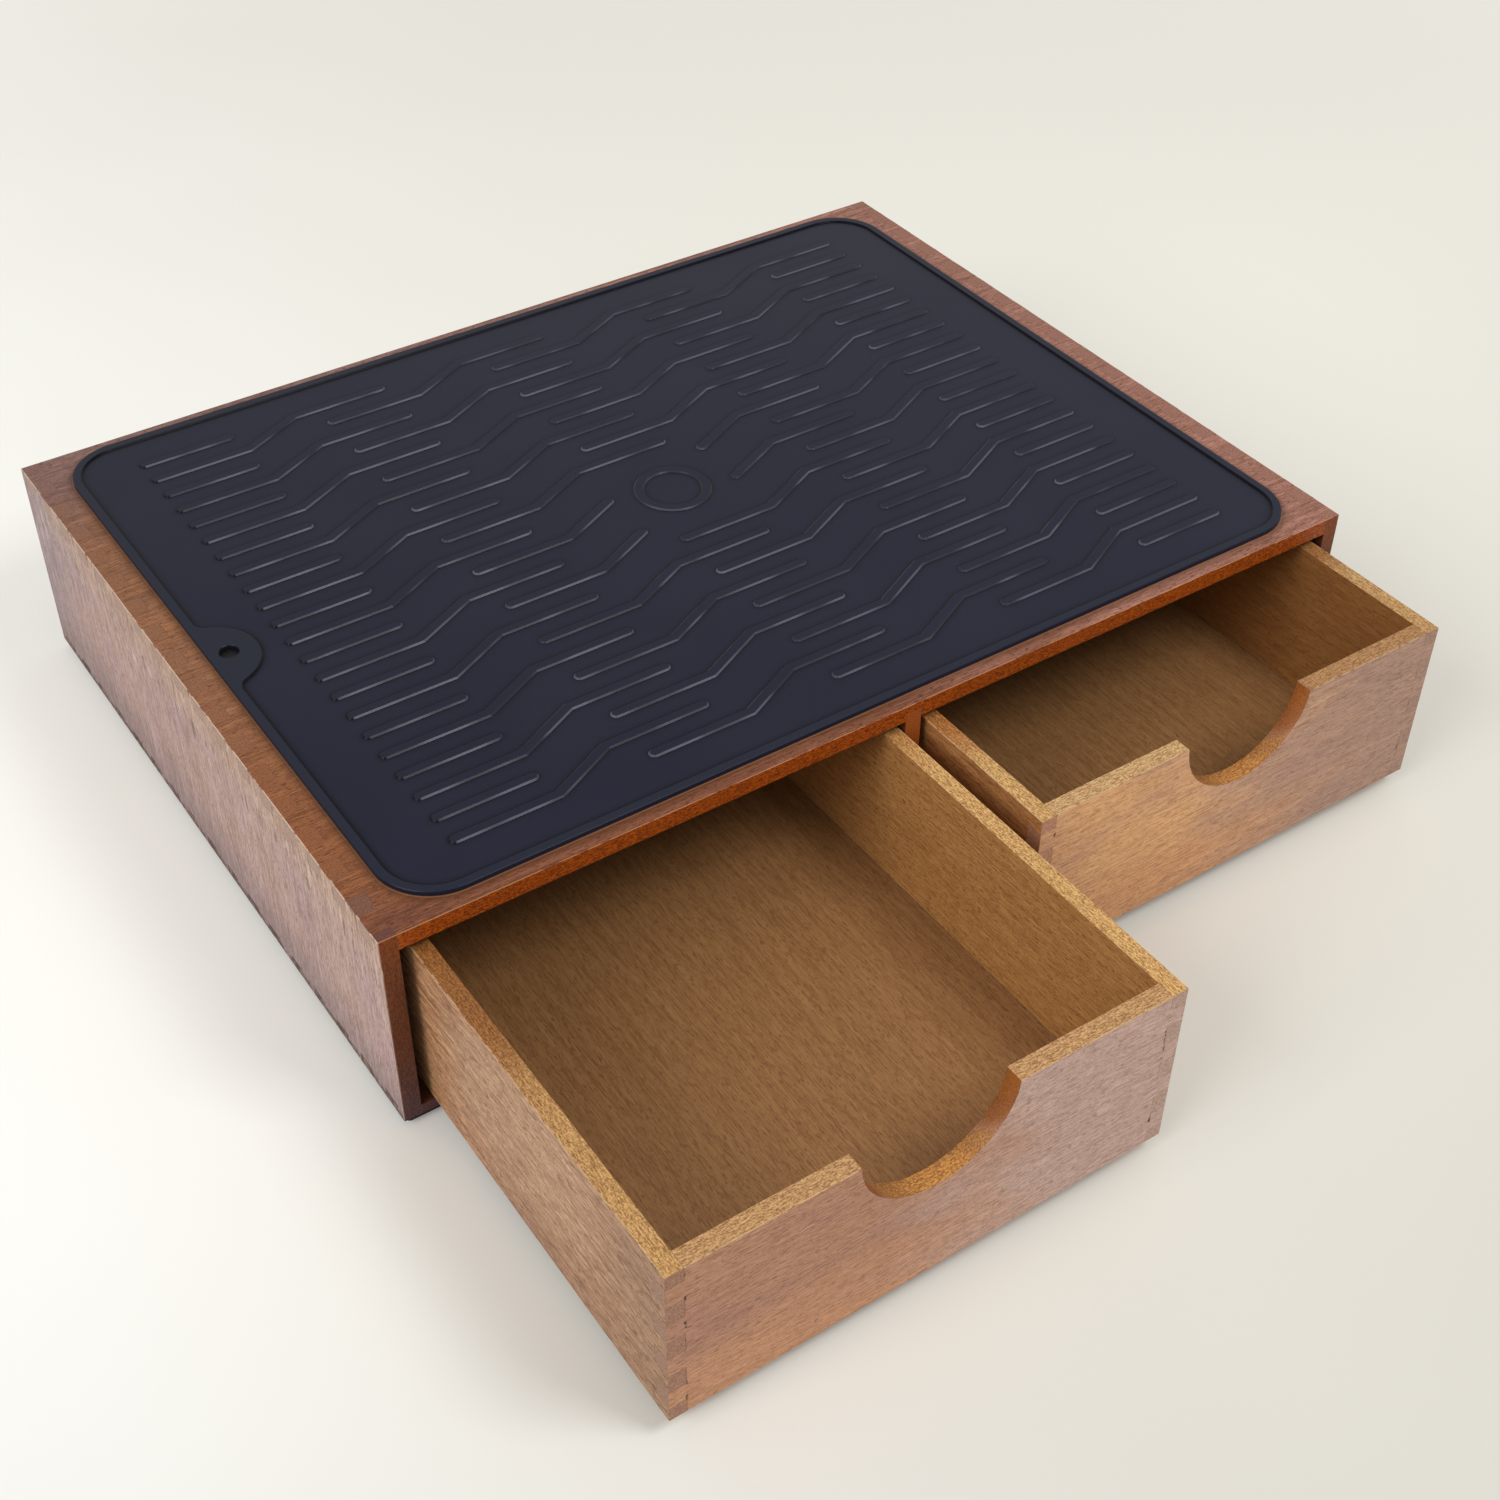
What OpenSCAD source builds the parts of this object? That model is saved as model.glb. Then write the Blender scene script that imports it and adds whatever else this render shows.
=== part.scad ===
// Two-drawer stand for coffee pods: a finger-jointed wooden cabinet on rubber feet, two open
// trays that slide out of its front, and a ribbed silicone mat that lies on its top.
// Frame: X runs along the front, Y runs to the back and Z runs up. The drawers open toward -Y.
// The origin is on the surface that the feet stand on, below the middle of the boards. All sizes
// are in millimetres.

/* [Cabinet] */
// Width over the two side boards
body_w = 490; // [440:1:560]
// Depth from the front edges to the back
body_d = 370; // [320:1:420]
// Height of the boards, without the feet
body_h = 101; // [90:1:130]
// Thickness of the side boards
side_t = 8; // [6:0.5:12]
// Thickness of the top board
top_t = 8; // [6:0.5:12]
// Thickness of the bottom board
bottom_t = 5; // [4:0.5:10]
// Thickness of the back board
back_t = 8; // [5:0.5:12]
// Thickness of the divider between the drawers
divider_t = 8; // [6:0.5:12]
// Depth of the housing that holds the divider in the top board
housing_d = 4; // [1:0.5:5]

/* [Finger joints] */
// Width of one finger where the cabinet's boards meet
cabinet_finger = 10.9; // [8:0.1:16]
// Width of one finger at a drawer's corners
drawer_finger = 9.8; // [7:0.1:14]
// Least length of board beyond the outermost finger
finger_end = 4; // [2:0.5:6]

/* [Feet] */
// Length of a foot along the cabinet's front
foot_w = 30; // [16:1:60]
// Length of a foot along the cabinet's side
foot_d = 12; // [8:1:40]
// Height of a foot
foot_h = 4; // [2:0.5:10]
// Corner radius of a foot
foot_r = 2; // [0.5:0.5:4]
// Distance from a foot to the cabinet's edges
foot_inset = 2; // [0:0.5:10]

/* [Drawers] */
// Clearance between a drawer and each wall of its bay
drawer_side_gap = 3.5; // [2.5:0.1:6]
// Clearance between a drawer and the bottom board
drawer_floor_gap = 0.4; // [0.2:0.1:1]
// Clearance between a drawer's top edge and the top board
drawer_head_gap = 4.6; // [1:0.1:10]
// Clearance between a closed drawer and the back board
drawer_back_gap = 2; // [1:0.5:6]
// Thickness of a drawer's front board
front_t = 8; // [6:0.5:12]
// Thickness of a drawer's side boards
wall_t = 7.5; // [6:0.5:12]
// Thickness of a drawer's back board
rear_t = 7.5; // [6:0.5:12]
// Thickness of a drawer's bottom panel
panel_t = 4; // [3:0.5:6]
// Height of the bottom panel above a drawer's lower edge
panel_rise = 5; // [3:0.5:10]
// Depth of the groove that holds the bottom panel
groove_d = 3; // [1:0.5:4]
// Clearance over the bottom panel in its groove
groove_gap = 0.2; // [0.1:0.1:0.5]
// How far the left drawer stands open
left_open = 172.5; // [0:0.5:300]
// How far the right drawer stands open
right_open = 74.5; // [0:0.5:300]
// How far the left drawer lies to the right of the middle of its bay
left_shift = 2.3; // [-2.4:0.1:2.4]

/* [Finger scoop] */
// Radius of the scoop in a drawer's front
scoop_r = 34.5; // [20:0.5:50]
// Depth of the scoop below the front's top edge
scoop_d = 33; // [10:0.5:45]

/* [Mat] */
// Width of the mat
mat_w = 460; // [400:1:480]
// Depth of the mat
mat_d = 356; // [300:1:366]
// Corner radius of the mat
mat_r = 26; // [10:1:40]
// Thickness of the mat between its ribs
mat_t = 1.5; // [0.8:0.1:3]
// Width of the raised rim
rim_w = 4; // [2:0.5:8]
// Height of the raised rim above the mat's underside
rim_h = 2.4; // [1.8:0.1:6]
// Radius of the hanging tab
tab_r = 22; // [16:0.5:30]
// Radius of the fillets where the tab meets the rim
tab_fillet_r = 6; // [2:0.5:8]
// Radius of the hanging hole
hole_r = 4.25; // [2:0.25:6]
// Distance from the mat's left edge to the middle of the hanging hole
hole_inset = 9; // [8:0.5:12]

/* [Mat ribs] */
// Width of a rib
rib_w = 4.5; // [2:0.5:6]
// Height of a rib above the mat
rib_h = 0.7; // [0.4:0.1:1.4]
// Distance between two rows of ribs
row_pitch = 14.6; // [10:0.1:24]
// Length of a stepped rib's straight runs
run_l = 46.5; // [30:0.5:60]
// Length of a short rib beside the stepped ones
short_l = 42.5; // [20:0.5:60]
// Length of a stepped rib's slant, along the mat's width
slant_l = 29.5; // [15:0.5:40]
// Distance from one stepped rib to the next along the mat's width
rib_pitch = 90; // [82:1:110]
// Outer radius of the ring at the mat's middle
ring_r = 18; // [10:0.5:22]
// Width of plain mat kept between its side edges and the ribs
plain_side = 30; // [15:1:50]
// Width of plain mat kept between its front and back edges and the ribs
plain_end = 22; // [15:1:50]

/* [Hidden] */
$fn = 48;
cabinet_colour = "#9c6743";
side_colour = "#b2988c";
drawer_colour = "#b98a63";
panel_colour = "#b9823f";
rubber_colour = "#28262f";
silicone_colour = "#2f2e39";
// Extra length of a cutting shape past the faces that it cuts
over = 1;
// Straight steps that make up a rib's round end
cap_steps = 10;
// Heights of the boards' lower and upper faces
base_z = foot_h;
top_z = base_z + body_h;
// Space inside the cabinet, and each drawer's bay
inner_w = body_w - 2 * side_t;
inner_h = body_h - top_t - bottom_t;
bay_w = (inner_w - divider_t) / 2;
bay_x = (bay_w + divider_t) / 2;
// A drawer, and where each one stands
drawer_w = bay_w - 2 * drawer_side_gap;
drawer_h = inner_h - drawer_floor_gap - drawer_head_gap;
drawer_d = body_d - back_t - drawer_back_gap;
tray_w = drawer_w - 2 * wall_t;
tray_d = drawer_d - front_t - rear_t;
drawer_z = base_z + bottom_t + drawer_floor_gap;
left_at = [-bay_x + left_shift, -body_d / 2 - left_open, drawer_z];
right_at = [bay_x, -body_d / 2 - right_open, drawer_z];
// The mat's ribs: rows in pairs, and ribs across each pair, both about the mat's middle
rib_l = 2 * run_l + slant_l;
pairs = floor((mat_d - 2 * plain_end - rib_w + row_pitch) / (2 * row_pitch));
ribs_across = 1 + floor((mat_w - 2 * plain_side - rib_w - rib_l) / rib_pitch);
first_x = -((ribs_across - 1) * rib_pitch + rib_l) / 2;
first_y = -(2 * pairs - 1) * row_pitch / 2;

// Where the fingers of one board start along a joint: evenly spaced about its middle,
// each as wide as the gap to the next
function finger_count(length, finger) =
  floor((length - 2 * finger_end + finger) / (2 * finger));
function finger_starts(length, finger) =
  let (n = finger_count(length, finger), first = (length - (2 * n - 1) * finger) / 2)
  [for (i = [0 : n - 1]) first + 2 * i * finger];

// ---- Cabinet ----

// A board that lies between the side boards, with fingers that reach through them
module lying_board(t) {
  translate([-inner_w / 2, -body_d / 2, 0]) cube([inner_w, body_d, t]);
  for (y = finger_starts(body_d, cabinet_finger))
    translate([-body_w / 2, -body_d / 2 + y, 0]) cube([body_w, cabinet_finger, t]);
}

module top_board() color(cabinet_colour)
  translate([0, 0, top_z - top_t]) difference() {
    lying_board(top_t);
    translate([-divider_t / 2, -body_d / 2 - over, -over])
      cube([divider_t, body_d - back_t + over, housing_d + over]);
  }

module bottom_board() color(cabinet_colour) translate([0, 0, base_z]) lying_board(bottom_t);

// A side board with its outer face at X = 0, notched for the lying boards' fingers
module side_board() difference() {
  translate([0, -body_d / 2, 0]) cube([side_t, body_d, body_h]);
  for (y = finger_starts(body_d, cabinet_finger)) translate([-over, -body_d / 2 + y, 0]) {
    translate([0, 0, body_h - top_t]) cube([side_t + 2 * over, cabinet_finger, top_t + over]);
    translate([0, 0, -over]) cube([side_t + 2 * over, cabinet_finger, bottom_t + over]);
  }
}

module left_side_board() color(side_colour)
  translate([-body_w / 2, 0, base_z]) side_board();
module right_side_board() color(side_colour)
  translate([body_w / 2 - side_t, 0, base_z]) side_board();

module back_board() color(cabinet_colour)
  translate([-inner_w / 2, body_d / 2 - back_t, base_z + bottom_t])
    cube([inner_w, back_t, inner_h]);

module centre_divider() color(cabinet_colour)
  translate([-divider_t / 2, -body_d / 2, base_z + bottom_t])
    cube([divider_t, body_d - back_t, inner_h + housing_d]);

// ---- Feet ----

module rounded_rect(w, d, r) {
  square([w - 2 * r, d], center = true);
  square([w, d - 2 * r], center = true);
  for (x = [-1, 1], y = [-1, 1]) translate([x * (w / 2 - r), y * (d / 2 - r)]) circle(r);
}

// A foot under one corner: side is -1 for left or 1 for right, end is -1 for front or 1 for back
module foot(side, end) color(rubber_colour)
  translate([
    side * (body_w / 2 - foot_inset - foot_w / 2),
    end * (body_d / 2 - foot_inset - foot_d / 2),
    0
  ]) linear_extrude(foot_h) rounded_rect(foot_w, foot_d, foot_r);

module front_left_foot() foot(-1, -1);
module front_right_foot() foot(1, -1);
module back_left_foot() foot(-1, 1);
module back_right_foot() foot(1, 1);

// ---- Drawers, each about the middle of its lower front edge ----

// The bottom panel's space, reaching into a groove in each wall
module panel_space(height)
  translate([-tray_w / 2 - groove_d, front_t - groove_d, panel_rise])
    cube([tray_w + 2 * groove_d, tray_d + 2 * groove_d, height]);

// A cross board between the drawer's sides, with fingers that reach through them
module cross_board(t) {
  translate([-tray_w / 2, 0, 0]) cube([tray_w, t, drawer_h]);
  for (z = finger_starts(drawer_h, drawer_finger))
    translate([-drawer_w / 2, 0, z]) cube([drawer_w, t, drawer_finger]);
}

module drawer_front() difference() {
  cross_board(front_t);
  panel_space(panel_t + groove_gap);
  translate([0, -over, drawer_h + scoop_r - scoop_d]) rotate([-90, 0, 0])
    cylinder(r = scoop_r, h = front_t + 2 * over, $fn = 96);
}

module drawer_back() difference() {
  translate([0, drawer_d - rear_t, 0]) cross_board(rear_t);
  panel_space(panel_t + groove_gap);
}

// A drawer's side board: side is -1 for the left one and 1 for the right one
module drawer_side(side) difference() {
  translate([side * (drawer_w - wall_t) / 2, drawer_d / 2, drawer_h / 2])
    cube([wall_t, drawer_d, drawer_h], center = true);
  panel_space(panel_t + groove_gap);
  for (z = finger_starts(drawer_h, drawer_finger)) {
    translate([-drawer_w / 2 - over, -over, z])
      cube([drawer_w + 2 * over, front_t + over, drawer_finger]);
    translate([-drawer_w / 2 - over, drawer_d - rear_t, z])
      cube([drawer_w + 2 * over, rear_t + over, drawer_finger]);
  }
}

module left_drawer_front() color(drawer_colour) translate(left_at) drawer_front();
module left_drawer_back() color(drawer_colour) translate(left_at) drawer_back();
module left_drawer_left_side() color(drawer_colour) translate(left_at) drawer_side(-1);
module left_drawer_right_side() color(drawer_colour) translate(left_at) drawer_side(1);
module left_drawer_bottom() color(panel_colour) translate(left_at) panel_space(panel_t);

module right_drawer_front() color(drawer_colour) translate(right_at) drawer_front();
module right_drawer_back() color(drawer_colour) translate(right_at) drawer_back();
module right_drawer_left_side() color(drawer_colour) translate(right_at) drawer_side(-1);
module right_drawer_right_side() color(drawer_colour) translate(right_at) drawer_side(1);
module right_drawer_bottom() color(panel_colour) translate(right_at) panel_space(panel_t);

// ---- Mat ----

// Points on an arc about centre, from one angle to another
function arc(centre, r, from, to, steps) =
  [for (i = [0 : steps]) let (a = from + (to - from) * i / steps) centre + r * [cos(a), sin(a)]];

function heading(p, q) = atan2(q.y - p.y, q.x - p.x);

// The corner of a path's edge beside its point i, r to the left of the path
function corner(path, i, r) =
  let (a = heading(path[i - 1], path[i]), b = heading(path[i], path[i + 1]), middle = (a + b) / 2)
  path[i] + r / cos((b - a) / 2) * [-sin(middle), cos(middle)];

// The outline of a rib along a path, with round ends
function rib_outline(path) =
  let (
    r = rib_w / 2,
    last = len(path) - 1,
    start = heading(path[0], path[1]),
    end = heading(path[last - 1], path[last])
  )
  concat(
    arc(path[0], r, start + 270, start + 90, cap_steps),
    [for (i = [1 : 1 : last - 1]) corner(path, i, r)],
    arc(path[last], r, end + 90, end - 90, cap_steps),
    [for (i = [last - 1 : -1 : 1]) corner(path, i, -r)]
  );

// Whether a straight run from (x, y) along X would cross or crowd the ring
function crowds(x, y, length) =
  abs(y) < ring_r + rib_w && x < ring_r && x + length > -ring_r;

// One stepped rib: a run, a slant up to the next row and a second run, less what crowds the ring
module stepped_rib(x, y) {
  high_x = x + run_l + slant_l;
  high_y = y + row_pitch;
  polygon(rib_outline(concat(
    crowds(x, y, run_l) ? [] : [[x, y]],
    [[x + run_l, y], [high_x, high_y]],
    crowds(high_x, high_y, run_l) ? [] : [[high_x + run_l, high_y]]
  )));
}

module short_rib(x, y) polygon(rib_outline([[x, y], [x + short_l, y]]));

module mat_ribs() {
  for (pair = [0 : pairs - 1]) {
    y = first_y + 2 * pair * row_pitch;
    for (k = [0 : ribs_across - 1]) stepped_rib(first_x + k * rib_pitch, y);
    short_rib(first_x, y + row_pitch);
    short_rib(-first_x - short_l, y);
  }
  difference() {
    circle(ring_r);
    circle(ring_r - rib_w);
  }
}

// The hanging tab about the middle of the mat's left edge, filleted into the rim
module hanging_tab() {
  fillet_x = rim_w + tab_fillet_r;
  fillet_y = sqrt(pow(tab_r + tab_fillet_r, 2) - pow(fillet_x, 2));
  swing = atan2(fillet_y, fillet_x);
  polygon(concat(
    [[rim_w / 2, fillet_y]],
    arc([fillet_x, fillet_y], tab_fillet_r, 180, 180 + swing, cap_steps),
    arc([0, 0], tab_r, swing, -swing, 3 * cap_steps),
    arc([fillet_x, -fillet_y], tab_fillet_r, 180 - swing, 180, cap_steps),
    [[rim_w / 2, -fillet_y]]
  ));
}

module mat_rim() {
  difference() {
    rounded_rect(mat_w, mat_d, mat_r);
    rounded_rect(mat_w - 2 * rim_w, mat_d - 2 * rim_w, mat_r - rim_w);
  }
  translate([-mat_w / 2, 0]) hanging_tab();
}

module silicone_mat() color(silicone_colour) translate([0, 0, top_z]) difference() {
  union() {
    linear_extrude(mat_t) rounded_rect(mat_w, mat_d, mat_r);
    linear_extrude(rim_h) mat_rim();
    linear_extrude(mat_t + rib_h) mat_ribs();
  }
  translate([-mat_w / 2 + hole_inset, 0, -over]) cylinder(r = hole_r, h = rim_h + 2 * over);
}

top_board();
left_side_board();
right_side_board();
bottom_board();
back_board();
centre_divider();
front_left_foot();
front_right_foot();
back_left_foot();
back_right_foot();
left_drawer_front();
left_drawer_back();
left_drawer_left_side();
left_drawer_right_side();
left_drawer_bottom();
right_drawer_front();
right_drawer_back();
right_drawer_left_side();
right_drawer_right_side();
right_drawer_bottom();
silicone_mat();
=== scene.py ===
# %% [markdown]
# # A coffee pod drawer, dressed in Blender
# The stand is a low wooden cabinet with two drawers that slide out of its front and a ribbed silicone
# mat on its top. Its boards, feet and mat arrive as finished solids in one shared frame, in metres,
# with X along the front, Y to the back and Z up. They could be modelled again with finer edges, but
# then two models would have to agree, so this lesson leaves every solid where it is. It rounds their
# edges with modifiers, gives each one a material made of nodes, and sets up a camera, a floor and
# soft lights.

import math
from typing import NamedTuple

import bpy
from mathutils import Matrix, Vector


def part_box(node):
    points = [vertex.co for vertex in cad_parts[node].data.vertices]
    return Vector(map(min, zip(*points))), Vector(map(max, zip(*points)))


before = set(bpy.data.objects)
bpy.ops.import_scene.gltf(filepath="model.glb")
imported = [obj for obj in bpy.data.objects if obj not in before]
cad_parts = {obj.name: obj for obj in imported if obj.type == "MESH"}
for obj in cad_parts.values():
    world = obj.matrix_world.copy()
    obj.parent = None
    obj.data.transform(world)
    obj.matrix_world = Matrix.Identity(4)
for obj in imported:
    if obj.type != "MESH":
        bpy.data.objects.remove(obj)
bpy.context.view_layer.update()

# %% [markdown]
# ## Camera
# A camera is placed like a real one: where it stands, what it points at, how long its lens is and
# how far it leans. A constraint could keep it pointed, but one rotation worked out from two points
# is easier to follow. The lens is given for a 36 mm wide sensor, which is Blender's default. Starting
# with the camera means that every later step can be judged in the final view.

# %% Point the camera
MM = 0.001
CAMERA_PLACE = Vector((-440.4, -710.0, 674.1)) * MM
CAMERA_TARGET = Vector((-4.6, -72.0, 0.0)) * MM
CAMERA_LENS = 51.83
CAMERA_LEAN = math.radians(0.45)

camera = bpy.data.objects.new("camera", bpy.data.cameras.new("camera"))
bpy.context.scene.collection.objects.link(camera)
bpy.context.scene.camera = camera
camera.location = CAMERA_PLACE
looking = (CAMERA_TARGET - CAMERA_PLACE).to_track_quat("-Z", "Y").to_matrix()
camera.rotation_euler = looking.to_euler()
camera.rotation_euler.rotate_axis("Z", CAMERA_LEAN)
camera.data.lens = CAMERA_LENS
print("camera is", round((CAMERA_TARGET - CAMERA_PLACE).length, 2), "m from what it points at")

# %% [markdown]
# ## Arithmetic on sockets
# A material is a graph of nodes, and most of a wood grain is arithmetic on coordinates. Adding and
# linking each Math node by hand would hide the sum that is meant. The class below wraps one output
# socket, so that `0.5 + streaks * 0.3` adds the nodes by itself. Numbers go through Math nodes,
# vectors through Vector Math nodes, and colours are blended by Mix nodes. Every other node, such as a
# noise or a colour ramp, comes from the one method `node`, which makes the settings first because
# they decide which sockets there are.


# %% Wrap a socket
class Wire:
    """One output socket of a material's node, used like a number or a vector."""

    def __init__(self, tree, socket=None):
        self.tree = tree
        self.socket = socket

    def node(self, kind, settings=None, inputs=None, out=None):
        """Adds a node: its settings, then its inputs by name or number. Returns an output, if any."""
        made = self.tree.nodes.new(kind)
        for name, value in (settings or {}).items():
            if name == "stops":
                set_stops(made.color_ramp, value)
            else:
                setattr(made, name, value)
        for name, value in (inputs or {}).items():
            fill(self.tree, pick(made.inputs, name), value)
        return Wire(self.tree, pick(made.outputs, out) if made.outputs else None)

    def also(self, out):
        """Another output of the node that this wire comes from."""
        return Wire(self.tree, pick(self.socket.node.outputs, out))

    def maths(self, operation, *values):
        """A Math node on the values, or a Vector Math node where this wire is no plain number."""
        kind = "ShaderNodeMath" if self.socket.type == "VALUE" else "ShaderNodeVectorMath"
        return self.node(kind, {"operation": operation}, dict(enumerate(values)))

    def __add__(self, other):
        return self.maths("ADD", self, other)

    def __radd__(self, other):
        return self.maths("ADD", other, self)

    def __sub__(self, other):
        return self.maths("SUBTRACT", self, other)

    def __rsub__(self, other):
        return self.maths("SUBTRACT", other, self)

    def __mul__(self, other):
        return self.maths("MULTIPLY", self, other)

    def __rmul__(self, other):
        return self.maths("MULTIPLY", other, self)

    def __abs__(self):
        return self.maths("ABSOLUTE", self)

    def most(self, other):
        """The larger of this wire and another, number by number."""
        return self.maths("MAXIMUM", self, other)

    def ramp(self, start, end):
        """0 where the value is at start and 1 where it is at end, with a soft change between."""
        return self.node(
            "ShaderNodeMapRange",
            {"interpolation_type": "SMOOTHSTEP"},
            {"Value": self, "From Min": start, "From Max": end},
        )

    def near(self, place, reach):
        """1 close to the place, fading out over the rest of the reach to 0."""
        return 1.0 - abs(self - place).ramp(reach * 0.4, reach)

    def mix(self, low, high):
        """The colour low where this wire is 0 and the colour high where it is 1."""
        return self.node(
            "ShaderNodeMix",
            {"data_type": "RGBA"},
            {"Factor": self, "A": low, "B": high},
        )


print("a wire can be added, subtracted, multiplied, ramped and mixed")

# %% [markdown]
# ### Reaching a node's sockets
# Some nodes keep a socket for each type of value and use only those that their settings ask for.
# Blender's own lookup by name finds the first match, in use or not, so `pick` looks only among those
# in use. An input takes either a link or a value of its own, and `fill` does whichever is asked, so
# that a sum may hold wires and plain numbers alike.


# %% Fill the sockets of a node
def pick(sockets, name):
    """The socket in use with that name or number, or the first one."""
    in_use = [socket for socket in sockets if socket.enabled]
    if isinstance(name, str):
        return next(socket for socket in in_use if socket.name == name)
    return in_use[name or 0]


def fill(tree, socket, value):
    """Links a wire to an input, or sets the input's own value."""
    if isinstance(value, Wire):
        tree.links.new(value.socket, socket)
    elif socket.type == "RGBA" and len(value) == 3:
        socket.default_value = (*value, 1.0)
    elif socket.type == "VECTOR" and isinstance(value, (int, float)):
        socket.default_value = (value, value, value)
    else:
        socket.default_value = value


def set_stops(ramp, stops):
    """Gives a colour ramp its stops, as pairs of a place and a colour."""
    while len(ramp.elements) < len(stops):
        ramp.elements.new(1.0)
    for element, (place, colour) in zip(ramp.elements, stops):
        element.position = place
        element.color = (*colour, 1.0)


print("inputs take links and values")

# %% [markdown]
# ## The start and end of a material
# A colour given here is on the screen's scale from 0 to 255, and shaders work with the linear
# amount of light, so it is converted once here. Each material starts from the place of a point on
# its piece, in millimetres, and the direction that the surface faces there. Unwrapping each board
# could give such places too, but these come with the piece by themselves, and the grain stays put
# when a drawer slides out. Each material ends in one Principled shader with a bump, and its specular
# level is a constant on its own socket.


# %% Start and end a material
def srgb(red, green, blue):
    """Linear colour from screen values of 0 to 255."""
    share = (channel / 255 for channel in (red, green, blue))
    return tuple(v / 12.92 if v <= 0.04045 else ((v + 0.055) / 1.055) ** 2.4 for v in share)


def start_material(name):
    """An empty material, with the place in millimetres and the facing on its piece."""
    material = bpy.data.materials.new(name)
    material.use_nodes = True
    material.node_tree.nodes.clear()
    place = Wire(material.node_tree).node("ShaderNodeTexCoord", out="Object")
    return material, place * (1 / MM), place.also("Normal")


def end_material(colour, roughness, height, bump_mm, **own_values):
    """Closes a material with a Principled shader and a bump of that depth."""
    bump = height.node(
        "ShaderNodeBump",
        inputs={"Height": height, "Strength": 1.0, "Distance": bump_mm * MM},
    )
    inputs = {"Base Color": colour, "Roughness": roughness, "Normal": bump}
    inputs.update({name.replace("_", " "): value for name, value in own_values.items()})
    shader = height.node("ShaderNodeBsdfPrincipled", inputs=inputs)
    height.node("ShaderNodeOutputMaterial", inputs={"Surface": shader})


print("materials start from place and facing, and end in a Principled shader")

# %% [markdown]
# ### Vectors and noise
# Most patterns come from one texture, smooth noise. Its own scale could set the size of its lumps,
# but scaling the place that goes in can also stretch them in one direction. Half is taken off the
# noise at once, so that it swings about 0 and can be added to a tone without moving its middle.


# %% Take vectors apart and draw noise
def split(vector):
    """The X, Y and Z of a vector wire by name."""
    parts = vector.node("ShaderNodeSeparateXYZ", inputs={0: vector})
    return {"X": parts, "Y": parts.also("Y"), "Z": parts.also("Z")}


def join(x, y, z):
    """A vector wire from three number wires."""
    return x.node("ShaderNodeCombineXYZ", inputs={0: x, 1: y, 2: z})


def flat_length(vector):
    """How long a vector wire is, seen from above."""
    flat = vector * (1.0, 1.0, 0.0)
    return flat.node("ShaderNodeVectorMath", {"operation": "LENGTH"}, {0: flat}, "Value")


def noise(vector, detail, roughness=0.5):
    """Smooth noise about 0, with lumps about one unit of the vector wide."""
    inputs = {"Vector": vector, "Scale": 1.0, "Detail": detail, "Roughness": roughness}
    return vector.node("ShaderNodeTexNoise", inputs=inputs) - 0.5


def lumps(place, size_mm, detail=1.0):
    """Smooth noise about 0, with lumps of that size in every direction."""
    return noise(place * (1 / size_mm), detail)


print("noise swings about 0")

# %% [markdown]
# ## A board and its stain
# A board shows three kinds of surface. Its broad faces carry long streaks, its narrow edges show
# short dashes where they were sawn, and its ends show end grain. Each kind could have a material of
# its own, but then a rounded corner would show a hard line. So one shader finds out which kind a
# point is on from the direction of the surface, measured against the board's own grain and
# thickness. A stain is given by its middle colour on each kind, and its dark and light shades follow
# from that colour.

# %% Describe a board
SPREADS = {"face": 0.15, "inside": 0.17, "edge": 0.27, "end": 0.18}
DARK_SHARES = (0.8, 1.0, 1.2)
LIGHT_SHARES = (0.6, 0.8, 0.9)
LIGHTEST = 250


class Board:
    """How a board is cut and stained. Grain and thick are the axes of its grain and its thickness,
    and inner is the sense of its inner broad face, or 0. Colours holds the stain's middle colour by
    kind of surface, spreads says how far its dark and light lie from that, and blush is a second
    colour in the clouds of a face. Figure scales the streaks and rings, coarse widens the grain, and
    finish is a function that changes the colour last. Washes and marks are described next."""

    def __init__(
        self, grain, thick, colours, inner=0, washes=(), marks=(),
        spreads=None, blush=None, figure=1.0, coarse=1.0, finish=None,
    ):
        self.grain = grain
        self.thick = thick
        self.third = next(axis for axis in "XYZ" if axis not in (grain, thick))
        self.colours = colours
        self.inner = inner
        self.washes = washes
        self.marks = marks
        self.spreads = {**SPREADS, **(spreads or {})}
        self.blush = blush
        self.figure = figure
        self.coarse = coarse
        self.finish = finish


def stain(tone, middle, spread):
    """A ramp from a stain's dark through its middle to its light. The dark keeps more of its red."""
    dark = [channel * (1 - spread * share) for channel, share in zip(middle, DARK_SHARES)]
    light = [channel * (1 + spread * share) for channel, share in zip(middle, LIGHT_SHARES)]
    light = [min(channel, LIGHTEST) for channel in light]
    stops = ((0.0, srgb(*dark)), (0.5, srgb(*middle)), (1.0, srgb(*light)))
    return tone.node("ShaderNodeValToRGB", {"stops": stops}, {"Fac": tone})


print("a board knows its grain, thickness and stain")

# %% [markdown]
# ### Washes and marks
# A stain that is wiped on by hand is never the same all over, so washes shift it along a board. Marks
# are rubbed edges, scratches and the open glue lines of the joints. Painting them by hand would need
# a picture for each board, while a short record of where each one lies draws it in the shader.


# %% Describe a wash and a mark
class Wash(NamedTuple):
    """A change of stain on one kind of surface: the axis that it goes along, where it starts and
    where it is full, in millimetres, and the stain's middle colour there."""

    kind: str
    axis: str
    start: float
    full: float
    colour: tuple


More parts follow.
